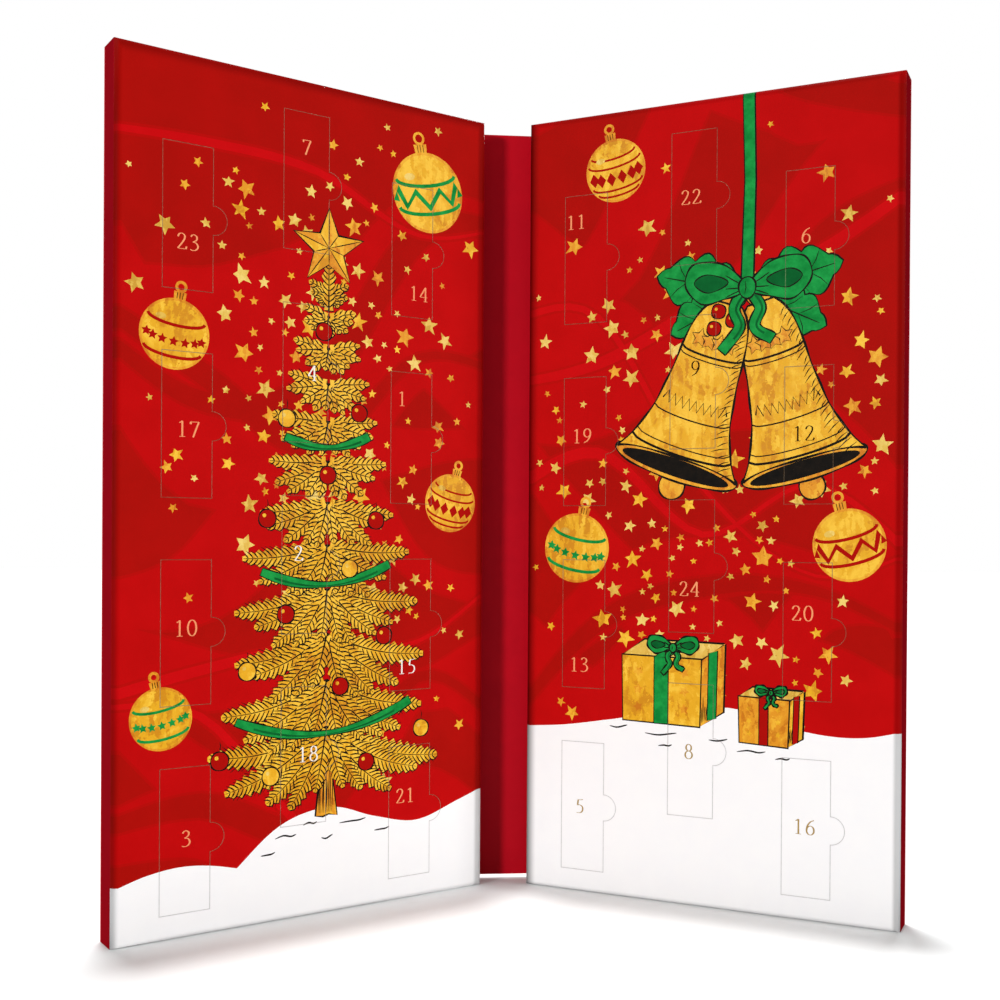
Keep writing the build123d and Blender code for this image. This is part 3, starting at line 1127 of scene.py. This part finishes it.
# Each digit's pen strokes, as shares of its height
DIGIT_SHARES = {
    "0": [circle(0.31, 0.5, 0.265, 28, 1.84)],
    "1": [[(0.32, 0.02), (0.32, 0.5), (0.32, 0.97)], [(0.32, 0.97), (0.24, 0.9), (0.13, 0.86)],
          [(0.14, 0.015), (0.5, 0.015)]],
    "2": [smooth([(0.06, 0.76), (0.13, 0.91), (0.29, 0.98), (0.46, 0.88), (0.47, 0.68), (0.3, 0.38),
                  (0.05, 0.05)]),
          [(0.05, 0.045), (0.3, 0.04), (0.55, 0.045)], [(0.55, 0.045), (0.6, 0.2)]],
    "3": [smooth([(0.08, 0.84), (0.17, 0.95), (0.31, 0.98), (0.46, 0.86), (0.42, 0.66), (0.2, 0.53)]),
          smooth([(0.2, 0.53), (0.42, 0.48), (0.53, 0.27), (0.42, 0.08), (0.22, 0.01), (0.04, 0.06)])],
    "4": [[(0.44, 0.98), (0.24, 0.66), (0.02, 0.31)], [(0.02, 0.3), (0.3, 0.3), (0.6, 0.3)],
          [(0.44, 0.98), (0.44, 0.5), (0.44, 0.0)], [(0.3, 0.012), (0.58, 0.012)]],
    "5": [[(0.18, 0.95), (0.34, 0.94), (0.54, 0.98)], [(0.18, 0.95), (0.15, 0.76), (0.12, 0.57)],
          smooth([(0.12, 0.57), (0.3, 0.59), (0.49, 0.46), (0.5, 0.22), (0.34, 0.05), (0.05, 0.03)])],
    "6": [smooth([(0.54, 0.97), (0.3, 0.84), (0.11, 0.56), (0.07, 0.28)]),
          bowl(0.3)],
    "7": [[(0.06, 0.8), (0.08, 0.95)], [(0.08, 0.94), (0.3, 0.94), (0.58, 0.95)],
          [(0.58, 0.95), (0.4, 0.5), (0.22, 0)]],
    "8": [circle(0.31, 0.755, 0.185, 22, 1.22), circle(0.31, 0.265, 0.245, 26, 1.06)],
    "9": [smooth([(0.08, 0.03), (0.32, 0.16), (0.51, 0.44), (0.55, 0.72)]),
          bowl(0.7)],
}
CLOSED_DIGITS = "08"
digit_height = 6.2
digit_width_share = 0.62
digit_pitch = 4.85


def number(picture, day, x, z, ink):
    """A day's number about a centre. The pen is broad: a stroke is thick where it runs up or down and thin
    where it runs across."""
    text = str(int(day))
    spare = (digit_pitch - digit_width_share * digit_height) / 2
    for place, digit in enumerate(text):
        left = x + digit_pitch * (place - len(text) / 2) + spare
        for line in DIGIT_SHARES[digit]:
            line = np.asarray(line, float)
            closed = digit in CLOSED_DIGITS
            line = np.vstack([line, line[:1]]) if closed else line
            across = normals(line)
            width = digit_height * (0.036 + 0.075 * np.abs(across[:, 0]) ** 1.3)
            line = line * digit_height + (left, z - digit_height / 2)
            half = across * width[:, None] / 2
            if closed:
                picture.lay(ink, line + half, (line - half)[::-1])
            else:
                picture.lay(ink, np.vstack([line + half, (line - half)[::-1]]))


def numbers(picture, word, places):
    """Every door's number, a small shift from its place, in its ink, in the order of the doors."""
    for day, (x, z, ink) in zip(days[word], places):
        number(picture, day, x + number_shift[0], z + number_shift[1], "number on " + ink)


def ground_strokes(picture, spots):
    """Short level pen strokes on the snow, each a little bent."""
    for x, z, length in spots:
        bend = random.uniform(-0.6, 0.9)
        middle = [(x + 0.4 * length, z + bend), (x + 0.75 * length, z + 0.2)]
        pen(picture, smooth([(x, z), *middle, (x + length, z + 0.8)], 4), 0.7)


def left_picture():
    """A gold fir tree on drifts of snow, with balls round it and a cloud of stars."""
    picture = Print()
    places = [
        (28.6, 264.8, "red"), (29.0, 194.0, "red"), (28.4, 118.4, "red"), (29.0, 38.4, "red"),
        (77.0, 309.6, "red"), (80.0, 219.4, "ink"), (74.4, 146.8, "ink"), (79.0, 66.0, "ink"),
        (128.8, 257.0, "red"), (121.0, 212.0, "red"), (124.0, 99.0, "ink"), (123.6, 44.4, "red"),
    ]
    balls = [(132.0, 300.0, 17.0, 12.0, "green", "zigzag"), (22.5, 229.0, 13.5, -8.0, "red", "stars"),
             (144.0, 168.0, 12.5, -14.0, "red", "diamonds"), (18.0, 84.0, 12.0, 10.0, "green", "stars")]
    backdrop(picture, 12, places, balls, 190, (86.0, 215.0), (40.0, 58.0))
    snow_hill(picture, [(20, 0), (44, 20), (66, 38), (88, 43), (108, 37), (128, 33), (148, 39), (168, 46)])
    snow_hill(picture, [(-6, 20), (14, 26), (32, 27), (54, 22), (84, 12), (110, -2)])
    for ball in balls:
        bauble(picture, *ball)
    tree, foot, height = 86.0, 42.0, 220.0
    fir_tree(picture, tree, foot, height, 43.5, (1, 4, 7))
    on_tree = {
        "red": [(41, 66), (104, 60), (92, 92), (112, 112), (68, 122), (60, 160), (108, 160), (86, 178),
                (100, 204), (84, 236)],
        "gold": [(62, 58), (130, 72), (52, 100), (96, 140), (68, 200)],
    }
    for ink, spots in on_tree.items():
        for x, z in spots:
            hanging_ball(picture, x, z, 3.6, ink)
    treetop_star(picture, tree, foot + height + 8.0, 16.0)
    ground_strokes(picture, ((64, 33, 9), (76, 37, 6), (92, 36, 12), (108, 31, 7), (84, 31, 5), (58, 27, 6)))
    numbers(picture, "left", places)
    return picture


def right_picture():
    """Two gold bells under a green bow, and parcels on a hill of snow."""
    picture = Print()
    places = [
        (23.8, 290.8, "red"), (27.2, 198.0, "red"), (26.6, 99.0, "red"), (27.4, 37.6, "snow"),
        (75.8, 296.0, "red"), (78.2, 224.6, "gold"), (76.2, 132.8, "red"), (76.4, 65.0, "snow"),
        (124.0, 275.4, "red"), (123.6, 196.2, "gold"), (123.6, 124.0, "red"), (125.0, 38.4, "snow"),
    ]
    balls = [(41.0, 310.5, 13.5, 10.0, "red", "diamonds"), (24.0, 149.0, 15.0, -12.0, "green", "stars"),
             (141.0, 151.0, 14.5, 14.0, "red", "zigzag")]
    backdrop(picture, 16, places, balls, 230, (84.0, 172.0), (42.0, 56.0))
    snow_hill(picture, [(40, 0), (62, 72), (84, 83), (104, 82), (124, 76), (146, 75), (168, 80)])
    near_hill = [(-6, 70), (18, 72), (42, 76), (66, 80), (88, 70), (108, 52), (126, 40), (150, 20), (160, -4)]
    snow_hill(picture, near_hill)
    for ball in balls:
        bauble(picture, *ball)
    knot, level = 99.0, 256.0
    ribbon = [(knot, level + 86), (knot + 1, level + 44), (knot, level + 2)]
    picture.outlined("green", stroke(ribbon, (5.0, 4.6, 5.0)), 0.8)
    for degrees, size in ((166, 40), (205, 36), (14, 40), (-26, 36)):
        holly(picture, knot, level - 2, size, degrees)
    bell(picture, knot + 5, level - 4, 72.0, 26.0, 15.0)
    bell(picture, knot - 7, level - 4, 72.0, 28.0, -19.0)
    for x, z in ((87, 247), (93, 243), (85, 240)):
        hanging_ball(picture, x, z, 3.0, "red")
    bow(picture, knot, level, 27.0)
    gift(picture, 46.0, 76.0, 34.0, 27.0, "green", "gold")
    gift(picture, 97.0, 70.0, 20.0, 18.0, "red", "deep gold")
    ground_strokes(picture, ((40, 73, 8), (56, 71, 14), (84, 70, 8), (96, 66, 12), (112, 64, 6), (62, 66, 6)))
    numbers(picture, "right", places)
    return picture


# The cover, the inserts and the bars


def cover_card():
    """Crimson card of the spine and the boards: a cloudy ground, long faint rubs, and paler wear along the
    boards' outer edges and at the creases. One board mirrors the other, so that one pattern serves both."""
    made = Finish("cover_crimson", 0.45, 0.06)
    where = made.place(printed=False)
    base = made.cloudy(where, 90.0, 4.0, 0.6, colour(198, 10, 31), colour(205, 11, 32))
    broad = made.noise(where, 13.0, 3.0, 0.55)
    base = made.mix(made.ramp(broad, 0.35, 0.65, 0.0, 0.5), base, colour(190, 9, 28))

    parts = made.node("SeparateXYZ", {"Vector": where}).outputs
    swing, hinge = math.radians(swing_at_rest), joints["right_cover_hinge"]["pos_m"]
    out = made.math("SUBTRACT", made.math("ABSOLUTE", parts["X"]), hinge[0])
    back = made.math("SUBTRACT", parts["Y"], hinge[1])
    out = made.math("MULTIPLY", out, math.cos(swing))
    along = made.math("SUBTRACT", out, made.math("MULTIPLY", back, math.sin(swing)))
    edge = made.math("SUBTRACT", (set_back + carton_width) * MM, along)
    edge = made.math("MINIMUM", edge, parts["Z"])
    edge = made.math("MINIMUM", edge, made.math("SUBTRACT", carton_height * MM, parts["Z"]))
    crease = made.math("ABSOLUTE", made.math("SUBTRACT", along, crease_middle * MM))
    at_crease = made.math("MULTIPLY", made.soft(crease, crease_wear * MM, 0.0), 0.4)
    nearness = made.math("MAXIMUM", made.soft(edge, edge_wear * MM, 0.1 * MM), at_crease)
    patches = made.ramp(made.noise(where, 130.0, 5.0, 0.6, 0.6), 0.4, 0.68, 0.08, 0.5)
    base = made.mix(made.math("MULTIPLY", nearness, patches), base, colour(216, 66, 62))

    lengthwise = made.node("Mapping", {"Vector": where, "Scale": (1.0, 1.0, 0.06)}).outputs["Vector"]
    rubs = made.noise(lengthwise, 420.0, 4.0, 0.6)
    grain = made.math("ADD", made.noise(where, 2600.0, 3.0, 0.6), made.noise(where, 500.0, 2.0, 0.5))
    return made.shown(base, made.ramp(rubs, 0.3, 0.7, 0.36, 0.54), grain, 0.012)


def insert_plastic():
    """Thin formed plastic, ivory and satin."""
    made = Finish("insert_ivory", 0.35, 0.4)
    where = made.place(printed=False)
    clouds = made.noise(where, 30.0, 3.0, 0.6)
    base = made.mix(made.ramp(clouds, 0.35, 0.65), colour(222, 212, 192), colour(232, 224, 206))
    return made.shown(base, None, clouds, 0.01)


def chocolate():
    """Milk chocolate: even brown, satin, with faint bloom."""
    made = Finish("milk_chocolate", 0.34, 0.4)
    where = made.place(printed=False)
    clouds = made.noise(where, 60.0, 4.0, 0.6)
    base = made.mix(made.ramp(clouds, 0.35, 0.65), colour(84, 46, 26), colour(98, 56, 32))
    grain = made.noise(where, 900.0, 3.0, 0.6)
    return made.shown(base, made.ramp(clouds, 0.3, 0.7, 0.28, 0.42), grain, 0.02)


# Bars and the pockets that they lie in, in millimetres and degrees
pocket_reveal = 1.2
pocket_sheet = 0.4
seat_gap = 0.1
pocket_draft = 5.0
bar_clearance = 0.3
bar_base = 0.6
slab_height = 3.4
segment_height = 6.0
segment_gap = 0.9
segment_slope = 14.0
segments_in_bar = 4
bar_rounding = 0.45
bar_rows = 61
bar_columns = 193
relief = 0.35
star_reach = 3.4
star_sharpness = 1.35
star_slope = 0.5
flat_share = 0.9


def bar_grid():
    """A bar's upper side as a height over a grid. Each segment is the smaller, smoothly, of its top and of
    its steep walls, which rise from the slab with the distance from its edge, and carries a raised star."""
    pocket_depth = carton_depth - card - 2 * seat_gap - pocket_sheet
    narrowing = pocket_depth * math.tan(math.radians(pocket_draft))
    spare = 2 * (pocket_reveal + pocket_sheet + narrowing + bar_clearance)
    width, length = door_width - spare, door_height - spare
    pitch = length / segments_in_bar
    x = np.linspace(-width / 2, width / 2, bar_rows)
    z = np.linspace(-length / 2, length / 2, bar_columns)
    across, along = np.meshgrid(x, z, indexing="ij")
    cell = (along + length / 2) % pitch - pitch / 2
    inset_x = width / 2 - segment_gap / 2 - np.abs(across)
    inset_z = pitch / 2 - segment_gap / 2 - np.abs(cell)
    steep = 1 / math.tan(math.radians(segment_slope))
    inset = smaller(inset_x, inset_z, bar_rounding)
    rise = smaller(np.maximum(inset, 0) * steep, np.full_like(inset, segment_height), 4 * bar_rounding)
    angle = (np.arctan2(across, cell) + math.pi / 5) % (2 * math.pi / 5) - math.pi / 5
    reach = star_reach / (1 + star_sharpness * np.abs(angle))
    raised = relief * np.clip((reach - np.hypot(across, cell)) / star_slope + 0.5, 0, 1)
    edge = np.minimum(width / 2 - np.abs(across), length / 2 - np.abs(along))
    slab = bar_base + slab_height - bar_rounding * np.clip(1 - edge / bar_rounding, 0, 1) ** 2
    top = slab + np.maximum(rise, 0) - relief
    return across, along, np.where(rise > flat_share * segment_height, top + raised, top)


def smaller(first, second, blend):
    """The smaller of two heights, rounded over where they are within the blend of each other."""
    near = np.clip(0.5 + 0.5 * (second - first) / blend, 0, 1)
    return second + (first - second) * near - blend * near * (1 - near)


def bar(word, day, x, z, grid, material):
    """One bar in its pocket: the moulded side towards the door, upright sides and a flat back."""
    across, along, depth = grid
    rows, columns = across.shape
    ring = np.concatenate([
        np.arange(columns), columns * np.arange(1, rows) + columns - 1,
        columns * (rows - 1) + np.arange(columns - 2, -1, -1), columns * np.arange(rows - 2, 0, -1),
    ])
    place_x = x + door_width / 2 + across.ravel()
    place_z = z + door_height / 2 + along.ravel()
    place = to_frame(word, place_x, depth.ravel(), place_z)
    foot = to_frame(word, place_x[ring], bar_base, place_z[ring])
    corner = (columns * np.arange(rows - 1)[:, None] + np.arange(columns - 1)).ravel()
    faces = np.stack([corner, corner + columns, corner + columns + 1, corner + 1], axis=1)
    low = rows * columns + np.arange(len(ring))
    sides = np.stack([ring, np.roll(ring, -1), np.roll(low, -1), low], axis=1)
    mesh = bpy.data.meshes.new("bar_" + day)
    all_faces = [*faces.tolist(), *sides.tolist(), low.tolist()]
    mesh.from_pydata(np.vstack([place, foot]).tolist(), [], all_faces)
    mesh.polygons.foreach_set("use_smooth", np.arange(len(mesh.polygons)) < len(faces))
    mesh.materials.append(material)
    piece = placed("bar_" + day, mesh)
    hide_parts("chocolate_" + day)
    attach(piece, word + "_carton")


def bars():
    """A bar behind every door."""
    grid, material = bar_grid(), chocolate()
    for word in days:
        for day, (x, z) in zip(days[word], door_places()):
            bar(word, day, x, z, grid, material)


def dress(names, material):
    """Gives CAD nodes a material."""
    for name in names:
        node = frame["nodes"][name]
        node.data.materials.clear()
        node.data.materials.append(material)


def cover_crease(word, material):
    """The cover's skin over one crease, seen from above as a thin closed band. It lies flat on the spine's
    back, follows an arc about the hinge and lies flat on the board's back, and thins out to both edges."""
    side, swing = side_of[word], math.radians(swing_at_rest)
    hinge = joints[word + "_cover_hinge"]["pos_m"]
    flat = np.linspace(crease_reach, 0, flat_steps)
    bend = np.linspace(0, swing, turn_steps + 2)[1:-1]
    turn = np.concatenate([np.zeros(flat_steps), bend, np.full(flat_steps, swing)])
    run = np.concatenate([-flat, np.zeros(turn_steps), flat[::-1]])
    film = skin_gap + skin * (1 - skin_thinning * np.abs(run) / crease_reach)

    def path(radius):
        out = radius * np.sin(turn) + run * np.cos(turn)
        back = radius * np.cos(turn) - run * np.sin(turn)
        return np.stack([side * out, back], axis=1) * MM + hinge[:2]

    bead = board / 2
    ring = np.vstack([path(bead + film), path(np.full(len(turn), bead + skin_gap))[::-1]])
    ring = ring if side < 0 else ring[::-1]
    count = len(ring)
    ends = (spine_end_inset, carton_height - spine_end_inset)
    points = np.vstack([np.column_stack([ring, np.full(count, end * MM)]) for end in ends])
    here, half = np.arange(count), np.arange(count // 2 - 1)
    walls = np.stack([here, np.roll(here, -1), np.roll(here, -1) + count, here + count], axis=1)
    cap = np.stack([half, count - 1 - half, count - 2 - half, half + 1], axis=1)
    mesh = bpy.data.meshes.new("cover_crease_" + word)
    mesh.from_pydata(points.tolist(), [], np.vstack([walls, cap, cap[:, ::-1] + count]).tolist())
    mesh.polygons.foreach_set("use_smooth", np.ones(len(mesh.polygons), bool))
    mesh.set_sharp_from_angle(angle=math.radians(40))
    mesh.materials.append(material)
    piece = placed("cover_crease_" + word, mesh)
    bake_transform(piece)


# Floor, light and camera


def floor_material():
    """Matt white, a little cool, that keeps the object's shadow and meets the white background. It throws
    back less light on the object than the viewer sees."""
    made = Finish("floor_white", 0.9, 0.0)
    path = made.node("LightPath")
    base = made.mix(path.outputs["Is Camera Ray"], (0.5, 0.5, 0.5, 1.0), (0.85, 0.88, 0.88, 1.0))
    made.links.new(base, made.shader.inputs["Base Color"])
    seen = made.math("MULTIPLY", path.outputs["Is Camera Ray"], 0.06)
    made.shader.inputs["Emission Color"].default_value = (1.0, 1.0, 1.0, 1.0)
    made.links.new(seen, made.shader.inputs["Emission Strength"])
    return made.material


def floor():
    """A wide flat floor."""
    reach = 6000.0 * MM
    corners = [(-reach, -reach, 0), (reach, -reach, 0), (reach, reach, 0), (-reach, reach, 0)]
    mesh = bpy.data.meshes.new("floor")
    mesh.from_pydata(corners, [], [(0, 1, 2, 3)])
    mesh.materials.append(floor_material())
    placed("floor", mesh)


def world():
    """A white surround that is seen at full strength and lights the object at less."""
    surround = bpy.data.worlds.new("surround")
    bpy.context.scene.world = surround
    surround.use_nodes = True
    nodes, links = surround.node_tree.nodes, surround.node_tree.links
    path = nodes.new("ShaderNodeLightPath")
    seen = path.outputs["Is Camera Ray"]
    for ray in ("Is Transmission Ray", "Is Glossy Ray"):
        either = nodes.new("ShaderNodeMath")
        either.operation = "MAXIMUM"
        links.new(seen, either.inputs[0])
        links.new(path.outputs[ray], either.inputs[1])
        seen = either.outputs[0]
    strength = nodes.new("ShaderNodeMapRange")
    strength.inputs["To Min"].default_value = 0.22
    links.new(seen, strength.inputs["Value"])
    background = nodes["Background"]
    background.inputs["Color"].default_value = (1.0, 1.0, 1.0, 1.0)
    links.new(strength.outputs[0], background.inputs["Strength"])


def far_lamp(name, to_the_right, up, level, softness):
    """A far soft lamp, so many degrees to the right of the viewer and up. Its level is what a white
    surface square to its direction, seen from above, shows of it."""
    lamp = bpy.data.lights.new(name, "SUN")
    lamp.energy = math.pi * level / math.cos(math.radians(up))
    lamp.angle = math.radians(softness)
    placed(name, lamp).rotation_euler = (math.radians(90 - up), 0.0, math.radians(to_the_right))


def camera():
    """The photograph's view: one turn about each axis, a place, and a small shift of the frame."""
    picture_width = 1000.0
    focal_pixels = 1261.77
    yaw, pitch, roll = -0.090392, -0.005329, -0.005986
    place = Vector((-35.35, -522.02, 151.24)) * MM
    data = bpy.data.cameras.new("camera")
    data.sensor_width = 36.0
    data.lens = focal_pixels / picture_width * data.sensor_width
    data.shift_x = -0.03925
    data.shift_y = 0.04855
    data.clip_start = 0.01
    made = placed("camera", data)
    turn = Matrix.Rotation(roll, 4, "Y") @ Matrix.Rotation(pitch, 4, "X") @ Matrix.Rotation(yaw, 4, "Z")
    made.matrix_world = Matrix.Translation(place) @ turn @ Matrix.Rotation(math.pi / 2, 4, "X")
    bpy.context.scene.camera = made


# The calendar, and the scene about it

cut_out("left", left_picture())
cut_out("right", right_picture())
bars()
cover = cover_card()
dress(["spine_strip", "cover_board_left", "cover_board_right"], cover)
dress(["insert_tray_left", "insert_tray_right"], insert_plastic())
for carton in days:
    cover_crease(carton, cover)

floor()
world()
far_lamp("key_light", -42.5, 12.0, 0.585, 10.0)
far_lamp("fill_light", 62.0, 8.0, 0.5, 10.0)
far_lamp("top_light", 194.0, 84.7, 0.0727, 4.6)
far_lamp("back_light", 152.0, 28.0, 0.32, 12.0)
camera()
bpy.context.scene.view_settings.view_transform = "Standard"
